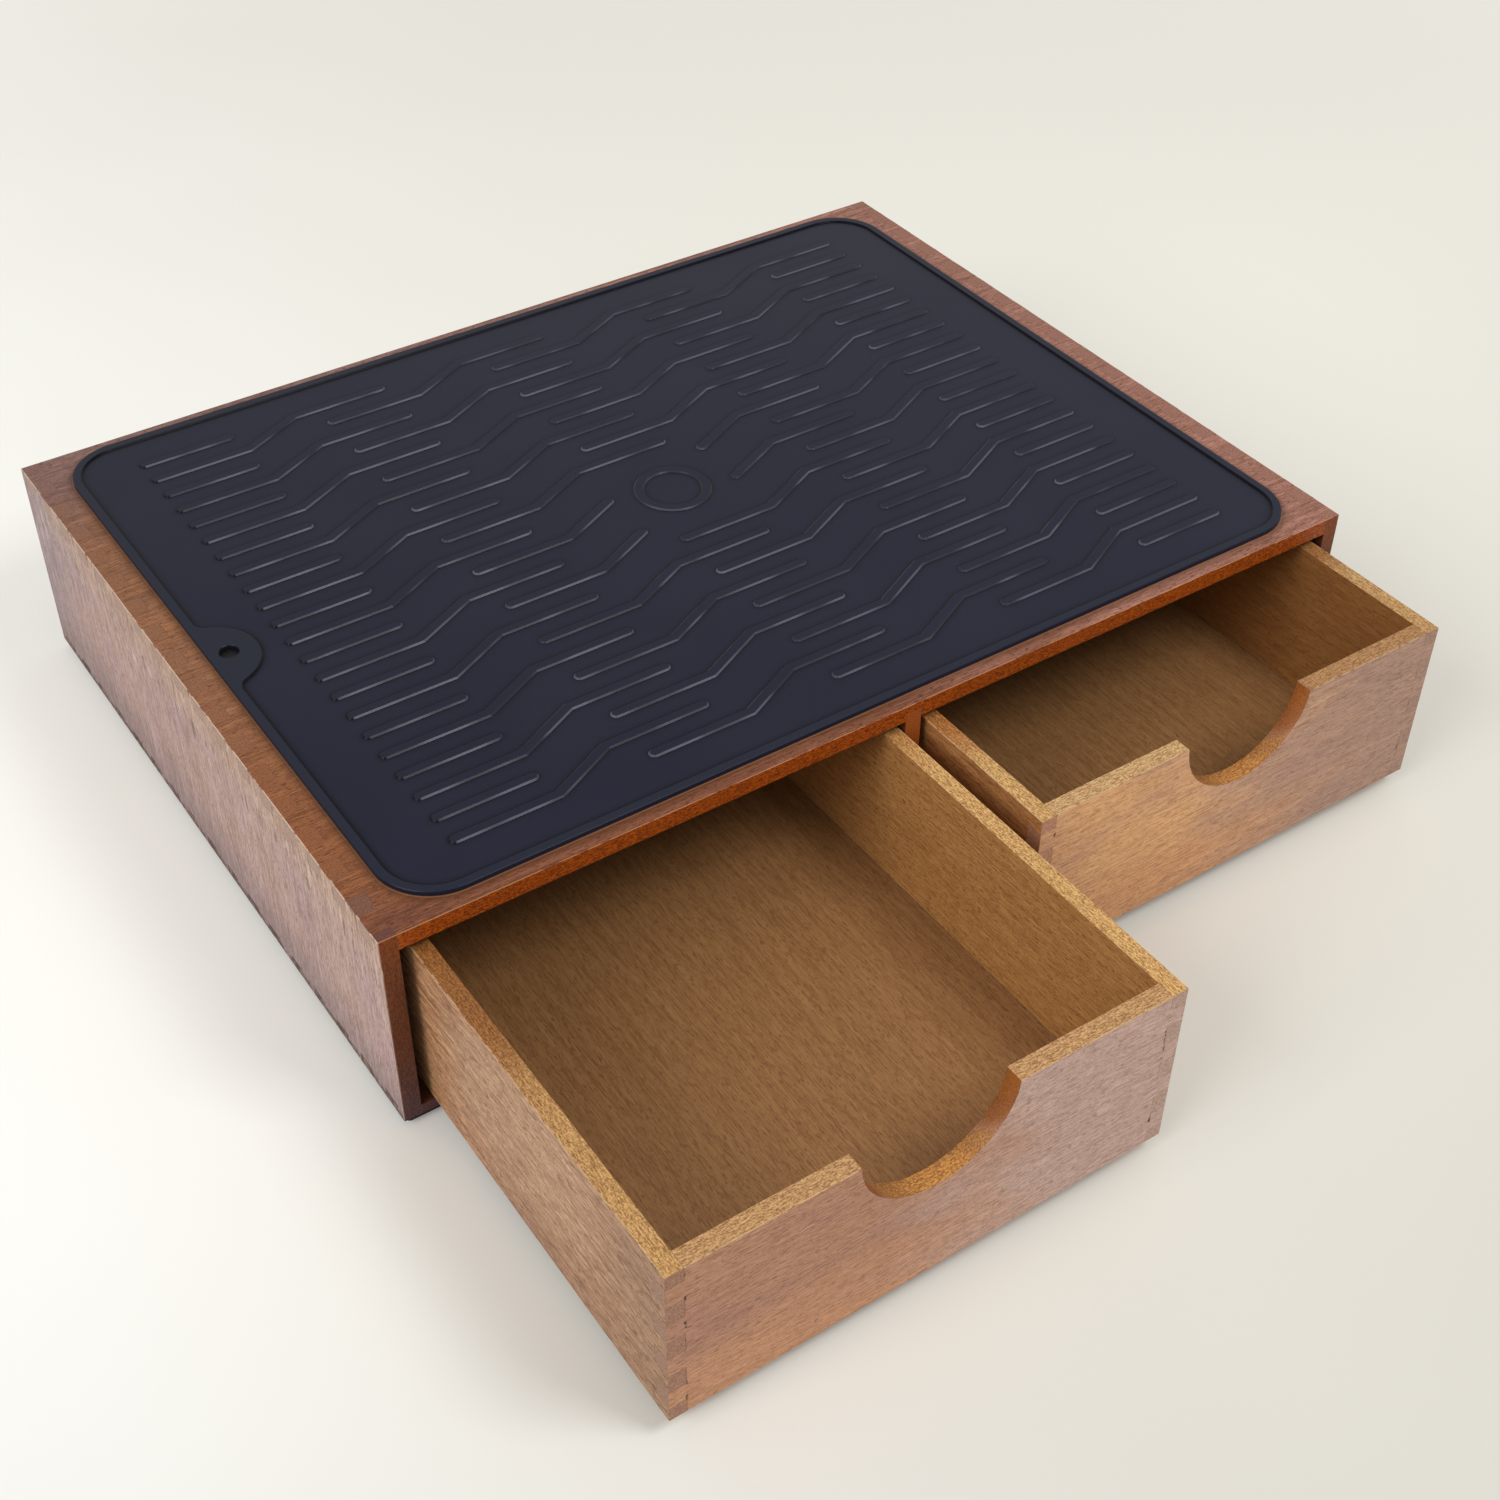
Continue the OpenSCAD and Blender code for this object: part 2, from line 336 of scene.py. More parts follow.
class Mark(NamedTuple):
    """A patchy line. Each of its places is an axis, where on it the line lies and how far it reaches,
    in millimetres. Its patches have the given sizes along X, Y and Z, and they show where noise about
    0 is above the level, so a higher level leaves fewer of them."""

    places: list
    strength: float
    colour: tuple
    sizes: tuple
    level: float


print("a wash has", ", ".join(Wash._fields))
print("a mark has", ", ".join(Mark._fields))

# %% [markdown]
# ## Grain
# Wood is one solid pattern that its faces cut through. A picture of wood could be laid on each face,
# but it wouldn't run on around the corners. Noise that is stretched along the grain does, and it
# gives streaks on a face and dots on an end by itself. Several such noises together make one board:
# wide streaks, fine fibres, dashes where a narrow edge was sawn, short dark pores, fine speckle and
# slow clouds. Growth rings are sine waves about a heart line that wanders outside the board.


# %% Draw the grain of a board
class Grain(NamedTuple):
    """A noise stretched along the grain: the length and width of its lumps in millimetres, its shift
    along the grain, its detail and roughness, and whether a coarse board widens it."""

    length: float
    width: float
    shift: float
    detail: float
    roughness: float = 0.5
    widens: bool = True


GRAINS = {
    "wander": Grain(160.0, 45.0, 0.0, 2.0),
    "streaks": Grain(80.0, 2.0, 7.0, 5.0, 0.72),
    "fibres": Grain(9.0, 0.6, 13.0, 2.0, 0.6),
    "dashes": Grain(2.8, 0.5, 17.0, 2.0, 0.6, widens=False),
    "pores": Grain(3.5, 0.6, 21.0, 1.0, widens=False),
    "speckle": Grain(1.0, 0.7, 29.0, 2.0, 0.75, widens=False),
    "clouds": Grain(60.0, 22.0, 37.0, 1.0),
}
PORE_LEVELS = (0.10, 0.18)
RING_MM = 6.0
HEART_OFFSET_MM = 30.0
HEART_SWAY_MM = 60.0


def grain_patterns(point, board, seed):
    """Each grain by name as noise about 0, the pores as spots of 1, and the rings about 0."""
    along, across, deep = (point[axis] for axis in (board.grain, board.third, board.thick))
    patterns = {}
    for name, grain in GRAINS.items():
        times = 1 / (grain.width * (board.coarse if grain.widens else 1.0))
        shifted = along * (1 / grain.length) + (seed + grain.shift)
        stretched = join(shifted, across * times, deep * times)
        patterns[name] = noise(stretched, grain.detail, grain.roughness)
    patterns["pores"] = patterns["pores"].ramp(*PORE_LEVELS)
    heart = (deep + HEART_OFFSET_MM) + patterns["wander"] * HEART_SWAY_MM
    squares = across * across + heart * heart
    turns = squares.maths("SQRT", squares) * (2 * math.pi / RING_MM)
    patterns["rings"] = turns.maths("SINE", turns)
    return patterns


print("grains:", ", ".join(GRAINS))

# %% [markdown]
# ## From grain to colour
# Each kind of surface turns the same grain into its own tone, a number from dark to light: a face
# shows streaks and fibres, a sawn edge shows dashes, and an end shows speckle. One tone for all would
# be simpler, but edges and ends would then look like narrow faces. The tone picks a colour from the
# stain. Washes come next, and their borders wander with the clouds, because a straight border would
# look masked. Marks come last, as patches of noise that show only near their places.

# %% Find the tone of each surface
MIDDLE_TONE = 0.5
FACE_TONE = 0.53
FIGURE_PARTS = {"streaks": 1.5, "rings": 0.05}
FACE_PARTS = {"fibres": 1.9, "speckle": 1.1, "pores": -1.3}
EDGE_PARTS = {"dashes": 2.6, "speckle": 3.0, "pores": -0.4}
END_PARTS = {"fibres": 1.0, "speckle": 3.2}


def weighed(patterns, middle, parts):
    """A tone: the middle one, plus each pattern in parts times its part."""
    return sum((patterns[name] * part for name, part in parts.items()), middle)


def tones(board, patterns):
    """The tone of each kind of surface. Only the broad faces show the board's figure."""
    figure = {name: part * board.figure for name, part in FIGURE_PARTS.items()}
    face = weighed(patterns, FACE_TONE, {**FACE_PARTS, **figure})
    edge = weighed(patterns, MIDDLE_TONE, EDGE_PARTS)
    end = weighed(patterns, MIDDLE_TONE, END_PARTS)
    return {"face": face, "inside": face, "edge": edge, "end": end}


print("a face's tone is made of", ", ".join([*FIGURE_PARTS, *FACE_PARTS]))

# %% [markdown]
# ### Blush, washes and marks
# Colours could be added to each other, but a sum soon leaves the range of real stains. Mixing from
# one stain to the next keeps every point between two colours that were chosen.

# %% Colour a board by its tones
BLUSH_LEVELS = (-0.08, 0.22)
BLUSH_PART = 0.6
MARK_DETAIL, MARK_ROUGHNESS = 3.0, 0.6
MARK_RIM = 0.06
MARK_SHIFT = 3.0


def board_colour(board, kind, tone, point, patterns):
    """The stain of one kind of surface, with its blush and its washes."""
    spread = board.spreads[kind]
    colour = stain(tone, board.colours[kind], spread)
    if board.blush and kind == "face":
        blushing = patterns["clouds"].ramp(*BLUSH_LEVELS) * BLUSH_PART
        colour = blushing.mix(colour, stain(tone, board.blush, spread))
    for wash in board.washes:
        if wash.kind == kind:
            wandering = point[wash.axis] + patterns["clouds"] * abs(wash.full - wash.start)
            washed = wandering.ramp(wash.start, wash.full)
            colour = washed.mix(colour, stain(tone, wash.colour, spread))
    return colour


def marked(colour, board, seed, place, point):
    """A board's colour with its marks."""
    for number, mark in enumerate(board.marks):
        spots = place * tuple(1 / size for size in mark.sizes) + (seed + MARK_SHIFT * number)
        patches = noise(spots, MARK_DETAIL, MARK_ROUGHNESS).ramp(mark.level, mark.level + MARK_RIM)
        for axis, at, reach in mark.places:
            patches = patches * point[axis].near(at, reach)
        colour = (patches * mark.strength).mix(colour, srgb(*mark.colour))
    return colour


print("a board's colour follows its stain, blush, washes and marks")

# %% [markdown]
# ## One wood for every board
# Sixteen boards could mean sixteen hand-made materials, but one recipe keeps them a family. It weighs
# the surfaces against each other by the facing, from broad face to edge to end, so a rounded corner
# blends from one to the next. On the rounding itself the stain has soaked in deeper, and so the wood
# is a little darker there.

# %% Make the wood of one board
INNER_TURN = (0.3, 0.7)
SIDE_TURN = (0.6, 0.8)
FLAT_TURN = (0.86, 0.985)
ARRIS_STAIN = (96, 62, 44)
ARRIS_PART = 0.3
FIBRE_HEIGHT = 0.6
WOOD_BUMP_MM = 0.06
WOOD_ROUGHNESS = 0.5
STREAK_ROUGHNESS = 0.3


def wood(name, board, seed):
    """The material of one board."""
    material, place, facing = start_material(name)
    point = split(place)
    towards = split(facing)
    patterns = grain_patterns(point, board, seed)
    tone = tones(board, patterns)
    stained = {kind: board_colour(board, kind, tone[kind], point, patterns) for kind in board.colours}
    broad, edge, end = (abs(towards[axis]) for axis in (board.thick, board.third, board.grain))

    colour = stained["face"]
    if board.inner:
        within = (towards[board.thick] * board.inner).ramp(*INNER_TURN)
        colour = within.mix(colour, stained["inside"])
    colour = edge.ramp(*SIDE_TURN).mix(colour, stained["edge"])
    colour = end.ramp(*SIDE_TURN).mix(colour, stained["end"])
    rounded = 1.0 - broad.most(edge).most(end).ramp(*FLAT_TURN)
    colour = (rounded * ARRIS_PART).mix(colour, srgb(*ARRIS_STAIN))
    colour = marked(colour, board, seed, place, point)
    if board.finish:
        colour = board.finish(colour, place)

    roughness = WOOD_ROUGHNESS + patterns["streaks"] * STREAK_ROUGHNESS
    height = patterns["fibres"] * FIBRE_HEIGHT - patterns["pores"]
    end_material(colour, roughness, height, bump_mm=WOOD_BUMP_MM, Specular_IOR_Level=0.25)
    return material


print("wood is one recipe for all the boards")

# %% [markdown]
# ## The cabinet's edges
# The cabinet's outer arrises are rubbed pale by use, and its sides are scratched near the top and
# darkened at the foot, partly as scuffs and partly as a painted contact shadow. The places of these
# marks could be typed in, but here they are read from the solids, so that they stay on the edges when
# a size changes.

# %% Find the cabinet's edges
mat_low, mat_high = (Vector(corner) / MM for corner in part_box("silicone_mat"))
side_low, side_high = (Vector(corner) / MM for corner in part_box("left_side_board"))
LEFT, RIGHT, FRONT = side_low.x, -side_low.x, side_low.y
FOOT, TOP = side_low.z, side_high.z
print("top face at", round(TOP, 1), "mm, front at", round(FRONT, 1), "mm")

# %% [markdown]
# ### Beside the mat
# Just outside the mat the wood gets a painted contact shadow, with a thin painted highlight at the
# mat's edge, and below its rim and in its hole it is painted near black as shade. A mask picture could
# place these, but the mat's outline is only a rectangle with round corners, and how far a point lies
# outside it takes a few vector operations: fold the plane onto one quarter, take off the corner's
# centre, and measure what is left.

# %% Darken the wood beside the mat
MAT_CORNER_MM = 26.0
HOLE_INSET_MM = 9.0
MAT_HOLE = Vector((mat_low.x + HOLE_INSET_MM, 0.0, 0.0))
# Painted contact shadow beside the mat, painted highlight at its edge, painted shade under its rim
MAT_PAINTED_SHADOW = srgb(92, 54, 28)
MAT_PAINTED_GLINT = srgb(178, 136, 104)
MAT_PAINTED_SHADE = srgb(22, 17, 18)
SHADE_PART, SHADE_INNER, SHADE_OUTER = 0.65, (-9.0, -4.0), (5.0, -0.5)
GLINT_PART, GLINT_AT, GLINT_REACH = 0.3, 0.3, 0.5
RIM_SHADE_INNER, RIM_SHADE_OUTER, HOLE_SHADE_REACH = (-7.0, -3.0), (0.0, -1.0), (10.0, 5.0)


def past_mat_outline(place):
    """How far in millimetres a point lies outside the mat's outline, negative inside near it."""
    middle = (mat_low + mat_high) / 2
    corner = (mat_high - mat_low) / 2 - Vector((MAT_CORNER_MM, MAT_CORNER_MM, 0))
    from_corner = abs(place - tuple(middle)) - tuple(corner)
    return flat_length(from_corner.most(0.0)) - MAT_CORNER_MM


def beside_mat(colour, place):
    """A top board's colour with a painted contact shadow and a thin painted highlight beside the mat,
    and with painted shade below its rim and in its hole."""
    outside = past_mat_outline(place)
    shaded = outside.ramp(*SHADE_INNER) * outside.ramp(*SHADE_OUTER)
    # painted contact shadow: a soft dark band beside the mat
    colour = (shaded * SHADE_PART).mix(colour, MAT_PAINTED_SHADOW)
    # painted highlight: a thin pale line at the mat's edge
    colour = (outside.near(GLINT_AT, GLINT_REACH) * GLINT_PART).mix(colour, MAT_PAINTED_GLINT)
    # painted shade: near black below the mat's rim and in its hole
    under_mat_shade = outside.ramp(*RIM_SHADE_INNER) * outside.ramp(*RIM_SHADE_OUTER)
    under_mat_shade = under_mat_shade.most(flat_length(place - tuple(MAT_HOLE)).ramp(*HOLE_SHADE_REACH))
    return under_mat_shade.mix(colour, MAT_PAINTED_SHADE)


print("mat is", [round(v) for v in mat_high - mat_low], "mm")

# %% [markdown]
# ## The top board
# Each board is now one entry: how it is cut, its colours, its washes and its marks. The top is a red
# brown that is greyer at the back and warmer towards the front, and a wash paints it pinker to the
# right as a painted reflection. One colour with strong noise would be shorter, but it couldn't say on
# which side the board is warm.

# %% Stain the top board
STRETCH = (16.0, 16.0, 16.0)
ARRIS_REACH = 0.45
WORN = (236, 208, 180)
WORN_FRONT = (206, 146, 98)
top_arrises = (
    Mark([("X", LEFT, ARRIS_REACH), ("Z", TOP, ARRIS_REACH)], 0.65, WORN, STRETCH, -0.08),
    Mark([("X", RIGHT, ARRIS_REACH), ("Z", TOP, ARRIS_REACH)], 0.65, WORN, STRETCH, -0.08),
    Mark([("Y", FRONT, ARRIS_REACH), ("Z", TOP, ARRIS_REACH)], 0.5, WORN_FRONT, STRETCH, -0.08),
)
boards = {}
boards["top_board"] = Board(
    "X", "Z", inner=-1, marks=top_arrises, finish=beside_mat, blush=(154, 99, 60),
    spreads=dict(face=0.32, edge=0.36), figure=1.3,
    colours=dict(face=(135, 90, 62), inside=(78, 46, 26), edge=(150, 67, 9), end=(168, 138, 123)),
    washes=(
        Wash("face", "Y", 90, 175, (126, 92, 84)),
        Wash("face", "Y", 20, -120, (134, 81, 48)),
        Wash("face", "Y", -150, -182, (118, 70, 47)),
        # painted reflection: pinker and paler to the right
        Wash("face", "X", -120, 245, (152, 104, 88)),
    ),
)
print("top board has", len(boards["top_board"].washes), "washes")

# %% [markdown]
# ### The side boards
# The sides are paler and greyer than the top, and a wash darkens their faces towards the foot as
# painted shade. Their grain stands upright, so their upper ends show on the top as the fingers between
# the top board's own. Those ends were stained together with the top, and so they are close to its
# colours on each side. The two boards differ only in that and in which way they face, and so a loop
# stains both.

# %% Stain the side boards
DAB = (5.0, 5.0, 5.0)
CABINET_INSIDE = (84, 50, 28)
# Dark at the foot: scuffs, and a painted contact shadow
FOOT_SCUFF_AND_SHADE = (70, 46, 44)
SCRATCH_DARK, SCRATCH_LIGHT = (104, 74, 62), (220, 194, 170)
GLUE_LINE = (92, 64, 50)
GLUE_BELOW_TOP = 0.9
left_end_washes = (
    Wash("end", "Y", 90, 175, (128, 93, 84)),
    Wash("end", "Y", 20, -120, (135, 82, 50)),
    Wash("end", "Y", -135, -160, (118, 78, 60)),
    Wash("end", "Y", -174, -182, (100, 60, 50)),
)
for side, inner, outer_face, end_stain, end_washes in (
    ("left", 1, LEFT, (136, 91, 63), left_end_washes),
    ("right", -1, RIGHT, (146, 101, 85), ()),
):
    on_face = ("X", outer_face, 1.0)
    boards[f"{side}_side_board"] = Board(
        "Z", "X", inner=inner, blush=(174, 144, 145),
        spreads=dict(face=0.20, edge=0.24, end=0.2), figure=1.2, coarse=1.4,
        colours=dict(face=(180, 149, 139), inside=CABINET_INSIDE, edge=(103, 56, 30), end=end_stain),
        washes=(
            Wash("face", "Z", 78, 103, (183, 150, 131)),
            Wash("face", "Y", 110, 180, (165, 142, 143)),
            # painted shade: the faces darker towards the foot
            Wash("face", "Z", 44, 8, (156, 131, 128)),
            Wash("edge", "Z", 80, 105, (124, 62, 25)),
            Wash("edge", "Z", 60, 6, (87, 59, 58)),
        ) + end_washes,
        marks=top_arrises + (
            Mark([on_face, ("Z", TOP, 55.0)], 0.65, SCRATCH_DARK, (1.0, 3.6, 18.0), 0.09),
            Mark([on_face, ("Z", TOP, 60.0)], 0.6, SCRATCH_LIGHT, (1.2, 3.8, 16.0), 0.10),
            Mark([on_face, ("Z", TOP - GLUE_BELOW_TOP, 0.6)], 0.55, GLUE_LINE, DAB, 0.0),
            # scuffs and painted contact shadow along the foot
            Mark([on_face, ("Z", FOOT, 5.0)], 0.75, FOOT_SCUFF_AND_SHADE, DAB, -0.06),
            Mark([("X", outer_face, 0.6), ("Y", FRONT, 0.6)], 0.4, (206, 180, 168), STRETCH, -0.08),
        ),
    )
print("side boards have", len(boards["left_side_board"].marks), "marks each")

# %% [markdown]
# ### The bottom, the back and the divider
# These boards show little. They could share one entry, but the grain of each runs its own way. They
# need no washes. The fingers of the bottom board come out at the foot of each side and are darkened
# there as the sides are, partly as scuffs and partly as a painted contact shadow.

# %% Stain the other cabinet boards
DIVIDER = (96, 56, 30)
# the bottom board's finger ends at the foot: scuffs and painted contact shadow
foot_scuffs_and_shade = tuple(Mark([("X", face, 1.0)], 0.8, FOOT_SCUFF_AND_SHADE, DAB, -0.06) for face in (LEFT, RIGHT))
boards["bottom_board"] = Board(
    "X", "Z", marks=foot_scuffs_and_shade,
    colours=dict(face=CABINET_INSIDE, edge=(92, 52, 54), end=(132, 106, 100)),
)
boards["back_board"] = Board(
    "X", "Y", inner=-1, blush=(158, 116, 92),
    colours=dict(face=(150, 106, 80), inside=CABINET_INSIDE, edge=(120, 70, 34), end=(130, 80, 44)),
)
boards["centre_divider"] = Board("Y", "X", dict(face=DIVIDER, edge=DIVIDER, end=(156, 80, 31)))
print("cabinet boards:", ", ".join(boards))

# %% [markdown]
# ## The drawers' boards
# The drawers are a lighter, honey-coloured wood, and their narrow top edges are the most speckled
# surface of all. Their walls differ in colour, yet each one has a worn upper arris, and the fronts
# and backs show glue lines beside their fingers. Copying these marks into eight entries would invite
# slips, so a function adds them. Another makes the back and the bottom, which are the same in both.

# %% Describe a drawer's board
INSIDE = (150, 100, 54)
FLOOR_PANEL = (146, 104, 64)
WALL_FACE = (180, 139, 108)
WALL_THICK_MM = 7.5
GLUE_GAP = (62, 36, 22)
WORN_RIM = (212, 176, 132)


def drawer_board(name, grain, thick, inner, colours, washes=(), scratches=(), **own_values):
    """Adds a board of a drawer. Its outer arris is rubbed pale in places, and a front or a back has
    glue gaps. Each scratch is a mark on the outer face."""
    low, high = (Vector(corner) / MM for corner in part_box(name))
    across = "XY".index(thick)
    outer = low[across] if inner > 0 else high[across]
    on_face = (thick, outer, 1.0)
    marks = [Mark([(thick, outer, 0.6), ("Z", high.z, 0.6)], 0.5, WORN_RIM, DAB, -0.06)]
    marks += [scratch._replace(places=[on_face] + scratch.places) for scratch in scratches]
    if thick == "Y":
        for gap in (low.x + WALL_THICK_MM, high.x - WALL_THICK_MM):
            marks.append(Mark([on_face, ("X", gap, 0.8)], 0.95, GLUE_GAP, DAB, 0.05))
    colours = {"inside": INSIDE, **colours}
    boards[name] = Board(grain, thick, colours, inner, washes, marks, **own_values)


def back_and_bottom(side):
    """Adds a drawer's back and its bottom panel, which are alike in both drawers."""
    back_colours = dict(face=WALL_FACE, edge=(146, 96, 52), end=(160, 121, 101))
    drawer_board(f"{side}_drawer_back", "X", "Y", -1, back_colours)
    panel_colours = dict(face=FLOOR_PANEL, edge=INSIDE, end=INSIDE)
    boards[f"{side}_drawer_bottom"] = Board("Y", "Z", panel_colours, spreads=dict(face=0.16))


print("drawer walls are", WALL_THICK_MM, "mm thick")

# %% [markdown]
# ### The left drawer
# The left drawer stands out furthest, so its left side shows well. It is darker at the front, and
# warmer and scratched near the cabinet, where its rim turns brown. The front board is reddish on the
# left and greyer on the right. Noise could vary all this, but washes put each change in its place.

# %% Stain the left drawer
drawer_board(
    "left_drawer_front", "X", "Y", 1, blush=(170, 123, 104), figure=0.45,
    spreads=dict(face=0.20, edge=0.27),
    colours=dict(face=(179, 130, 101), edge=(178, 135, 90), end=(156, 92, 42)),
    washes=(
        Wash("face", "Z", 52, 14, (192, 139, 104)),
        Wash("face", "X", -150, -60, (190, 157, 144)),
        Wash("edge", "Z", 91, 80, (180, 122, 62)),
        Wash("end", "X", -222, -229, (154, 118, 96)),
        Wash("end", "X", -14, -7, (168, 138, 124)),
    ),
)
drawer_board(
    "left_drawer_left_side", "Y", "X", 1, blush=(171, 130, 101), figure=0.7, coarse=1.1,
    spreads=dict(face=0.36, edge=0.28),
    scratches=(Mark([("Y", -190, 45)], 0.6, (118, 72, 40), (1.0, 20.0, 1.4), 0.05),),
    colours=dict(face=WALL_FACE, edge=(182, 138, 86), end=(160, 117, 94)),
    washes=(
        Wash("face", "Z", 40, 12, (166, 123, 95)),
        Wash("face", "Y", -300, -345, (159, 121, 94)),
        Wash("face", "Y", -238, -186, (185, 136, 98)),
        Wash("edge", "Y", -335, -196, (138, 88, 44)),
    ),
)
drawer_board(
    "left_drawer_right_side", "Y", "X", -1, blush=(162, 126, 101), figure=0.7,
    spreads=dict(face=0.2, inside=0.22, edge=0.30),
    colours=dict(face=WALL_FACE, inside=(181, 129, 75), edge=(193, 148, 92), end=(178, 147, 132)),
    washes=(Wash("edge", "Y", -215, -185, (172, 122, 70)),),
)
back_and_bottom("left")
print("boards so far:", len(boards))

# %% [markdown]
# ### The right drawer
# The right drawer has the same parts, but less of it is out, so its side is mostly in shadow. Its
# front is the lightest board of all, lighter than its wood as painted light that makes up for the
# left drawer's shade, and it turns greyer to the right. It could share the left drawer's entries, but
# boards from one plank still differ.

# %% Stain the right drawer
drawer_board(
    "right_drawer_front", "X", "Y", 1, blush=(192, 142, 116), figure=0.45,
    spreads=dict(face=0.18, edge=0.27),
    # painted light: the front is lighter to make up for the left drawer's shade
    colours=dict(face=(217, 164, 114), edge=(186, 147, 100), end=(160, 94, 44)),
    washes=(
        Wash("face", "Z", 52, 14, (206, 150, 105)),
        Wash("face", "X", 60, 200, (172, 135, 117)),
        Wash("edge", "X", 130, 160, (162, 118, 76)),
        Wash("edge", "Z", 91, 80, (176, 118, 60)),
        Wash("end", "X", 16, 9, (178, 130, 102)),
        Wash("end", "X", 225, 232, (152, 121, 107)),
    ),
)
drawer_board(
    "right_drawer_left_side", "Y", "X", 1, figure=0.8, spreads=dict(face=0.26, edge=0.30),
    colours=dict(face=(172, 118, 70), edge=(190, 147, 92), end=(182, 132, 104)),
    washes=(Wash("edge", "Y", -235, -188, (160, 104, 54)),),
)
drawer_board(
    "right_drawer_right_side", "Y", "X", -1, blush=(162, 126, 101), spreads=dict(face=0.2, edge=0.30),
    colours=dict(face=WALL_FACE, edge=(178, 136, 86), end=(162, 128, 112)),
    washes=(Wash("edge", "Y", -215, -188, (150, 102, 58)),),
)
back_and_bottom("right")
print("boards to dress:", len(boards))

# %% [markdown]
# ## Softened edges
# A sawn board is sanded, so no edge is a perfect corner, and a fine rounded arris is what catches
# the light. The mesh could be edited, but modifiers leave the solid as it came and can be read and
# changed later. Three of them do it: the split corners are welded, flat faces are merged into single
# ones, and a narrow bevel rounds what is left.

# %% Soften and dress the boards
WELD_MM = 0.001
FLAT_ANGLE = math.radians(0.5)
CORNER_ANGLE = math.radians(35)
ARRIS_MM = 0.15
SEED_STEP = 11.0


def soften(piece, width_mm, segments=2, whole_width=False):
    """Rounds a solid's edges with modifiers. With whole_width, short edges don't narrow the bevel."""
    weld = piece.modifiers.new("weld", "WELD")
    weld.merge_threshold = WELD_MM * MM
    flat = piece.modifiers.new("flat", "DECIMATE")
    flat.decimate_type = "DISSOLVE"
    flat.angle_limit = FLAT_ANGLE
    bevel = piece.modifiers.new("bevel", "BEVEL")
    bevel.width = width_mm * MM
    bevel.segments = segments
    bevel.limit_method = "ANGLE"
    bevel.angle_limit = CORNER_ANGLE
    bevel.harden_normals = segments > 1
    bevel.use_clamp_overlap = not whole_width
    bevel.loop_slide = not whole_width


def dress(piece, material):
    """Gives a piece one material."""
    piece.data.materials.clear()
    piece.data.materials.append(material)


for number, (name, board) in enumerate(boards.items()):
    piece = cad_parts[name]
    soften(piece, ARRIS_MM)
    dress(piece, wood(name, board, SEED_STEP * number))
print("dressed boards:", len(boards))

# %% [markdown]
# ## Silicone mat
# Moulded silicone is dark, matt and even. What shows its shape are its edges: the slopes of the
# ribs are rubbed a little grey and painted lighter as a highlight, and the creases at their feet are
# painted darkest as shade. Both could be drawn in a picture, but the shader finds them. A slope shows
# in the facing. A crease doesn't, so the Ambient Occlusion node measures it: it looks around from
# each point, over a short distance and at this piece alone, and says how open the space is.

# %% Mix the silicone
RIM_WIDTH_MM = 7.5
TAB_REACH_MM = 33.0
FADE_MM = 1.0
RIM_TOP = (mat_high.z - 0.2, mat_high.z - 0.05)
CREASE_REACH_MM = 4.0
CREASE_LEVELS = (0.99, 0.90)
SKIN_MM, RUB_HIGHLIGHT_MM, CLOUD_MM = 0.7, 26.0, 60.0
SLOPE_LOWER, SLOPE_UPPER = (0.3, 0.6), (0.95, 0.80)
RUB_HIGHLIGHT_LEVELS, RUB_HIGHLIGHT_LEAST, RUB_HIGHLIGHT_MORE = (-0.10, 0.12), 0.25, 0.7
SILICONE_DARK, SILICONE_LIGHT = srgb(29, 31, 47), srgb(33, 34, 50)
SILICONE_RIM = srgb(33, 36, 50)
SILICONE_CREASE_SHADE = srgb(6, 4, 12)
SILICONE_RUB_HIGHLIGHT = srgb(90, 89, 103)


def silicone(name):
    """Dark silicone with slopes rubbed grey and painted light as a highlight, and creases painted dark
    as shade.
    """
    material, place, facing = start_material(name)
    point = split(place)
    upright = split(facing)["Z"]
    grain = lumps(place, SKIN_MM, detail=2.0)
    clouds = lumps(place, CLOUD_MM)
    # patches where the slopes are rubbed grey and painted light as a highlight
    rubbed = RUB_HIGHLIGHT_LEAST + lumps(place, RUB_HIGHLIGHT_MM).ramp(*RUB_HIGHLIGHT_LEVELS) * RUB_HIGHLIGHT_MORE
    openness = place.node(
        "ShaderNodeAmbientOcclusion",
        {"samples": 8, "only_local": True},
        {"Distance": CREASE_REACH_MM * MM},
        "AO",
    )
    ribbed = past_mat_outline(place).ramp(-RIM_WIDTH_MM, -RIM_WIDTH_MM - FADE_MM)
    ribbed = ribbed * (point["X"] - mat_low.x).ramp(TAB_REACH_MM, TAB_REACH_MM + FADE_MM)
    slopes = upright.ramp(*SLOPE_LOWER) * upright.ramp(*SLOPE_UPPER)

    colour = clouds.ramp(-0.2, 0.2).mix(SILICONE_DARK, SILICONE_LIGHT)
    colour = point["Z"].ramp(*RIM_TOP).mix(colour, SILICONE_RIM)
    # painted shade in the creases, where the ambient occlusion finds little open space
    colour = openness.ramp(*CREASE_LEVELS).mix(colour, SILICONE_CREASE_SHADE)
    # rubbed grey and painted highlight on the ribs' slopes
    colour = (slopes * ribbed * rubbed).mix(colour, SILICONE_RUB_HIGHLIGHT)
    roughness = 0.32 + clouds * 0.06
    end_material(colour, roughness, height=grain, bump_mm=0.004, Specular_IOR_Level=0.11)
    return material


print("silicone rim is", RIM_WIDTH_MM, "mm wide")

# %% [markdown]
# ### The ribs' slopes
# On the solid the ribs have square edges. Their slopes could be part of it, but they would multiply
# its faces, so a bevel one segment wide cuts them. Splitting the sharp edges afterwards keeps each
# slope flat in shading, because smooth shading across so narrow a face would smear its highlight
# over the mat.

